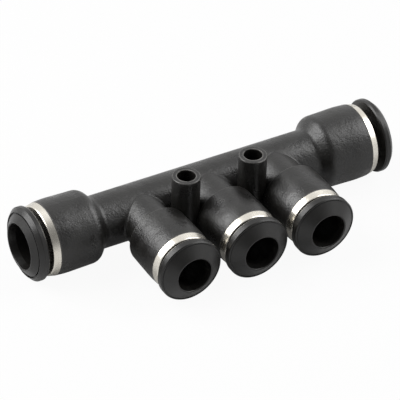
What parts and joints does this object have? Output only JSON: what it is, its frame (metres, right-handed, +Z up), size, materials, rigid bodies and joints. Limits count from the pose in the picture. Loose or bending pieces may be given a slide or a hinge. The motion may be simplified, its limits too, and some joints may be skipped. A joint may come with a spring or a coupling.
{
  "type": "push-in air manifold",
  "caption": "Black push-in air manifold: a straight run with a tube port at each end, smaller branch ports along one side and screw bosses between them.",
  "frame": {"origin": "midway between the two screw holes, in the plane of the boss feet", "axes": "+X along the run, -Y out of the branch ports, +Z up along the screw holes"},
  "size_m": [0.0785, 0.0301, 0.017],
  "materials": {
    "black_moulding": "fine moulded texture",
    "black_collar": "satin",
    "nickel_plated_brass": "bright nickel plate",
    "spring_steel": "bright",
    "pale_plastic": "smooth",
    "black_rubber": "smooth"
  },
  "bodies": {
    "manifold": {"manifold_body": "black_moulding", "guide_ring_run_left": "nickel_plated_brass", "lock_claw_run_left": "spring_steel", "backup_ring_run_left": "pale_plastic", "tube_seal_run_left": "black_rubber", "guide_ring_run_right": "nickel_plated_brass", "lock_claw_run_right": "spring_steel", "backup_ring_run_right": "pale_plastic", "tube_seal_run_right": "black_rubber", "guide_ring_branch_left": "nickel_plated_brass", "lock_claw_branch_left": "spring_steel", "backup_ring_branch_left": "pale_plastic", "tube_seal_branch_left": "black_rubber", "guide_ring_branch_middle": "nickel_plated_brass", "lock_claw_branch_middle": "spring_steel", "backup_ring_branch_middle": "pale_plastic", "tube_seal_branch_middle": "black_rubber", "guide_ring_branch_right": "nickel_plated_brass", "lock_claw_branch_right": "spring_steel", "backup_ring_branch_right": "pale_plastic", "tube_seal_branch_right": "black_rubber"},
    "collar_run_left": {"release_collar_run_left": "black_collar"},
    "collar_run_right": {"release_collar_run_right": "black_collar"},
    "collar_branch_left": {"release_collar_branch_left": "black_collar"},
    "collar_branch_middle": {"release_collar_branch_middle": "black_collar"},
    "collar_branch_right": {"release_collar_branch_right": "black_collar"}
  },
  "joints": [
    {"name": "run_left_collar_slide", "type": "slide", "parent": "manifold", "child": "collar_run_left", "axis": [-1, 0, 0], "range_m": [-0.0009, 0.0006], "deforming": ["lock_claw_run_left"]},
    {"name": "run_right_collar_slide", "type": "slide", "parent": "manifold", "child": "collar_run_right", "axis": [1, 0, 0], "range_m": [-0.00135, 0.00015], "deforming": ["lock_claw_run_right"]},
    {"name": "branch_left_collar_slide", "type": "slide", "parent": "manifold", "child": "collar_branch_left", "axis": [0, -1, 0], "range_m": [-0.00055, 0.0007], "deforming": ["lock_claw_branch_left"]},
    {"name": "branch_middle_collar_slide", "type": "slide", "parent": "manifold", "child": "collar_branch_middle", "axis": [0, -1, 0], "range_m": [-0.00055, 0.0007], "deforming": ["lock_claw_branch_middle"]},
    {"name": "branch_right_collar_slide", "type": "slide", "parent": "manifold", "child": "collar_branch_right", "axis": [0, -1, 0], "range_m": [-0.00055, 0.0007], "deforming": ["lock_claw_branch_right"]}
  ]
}
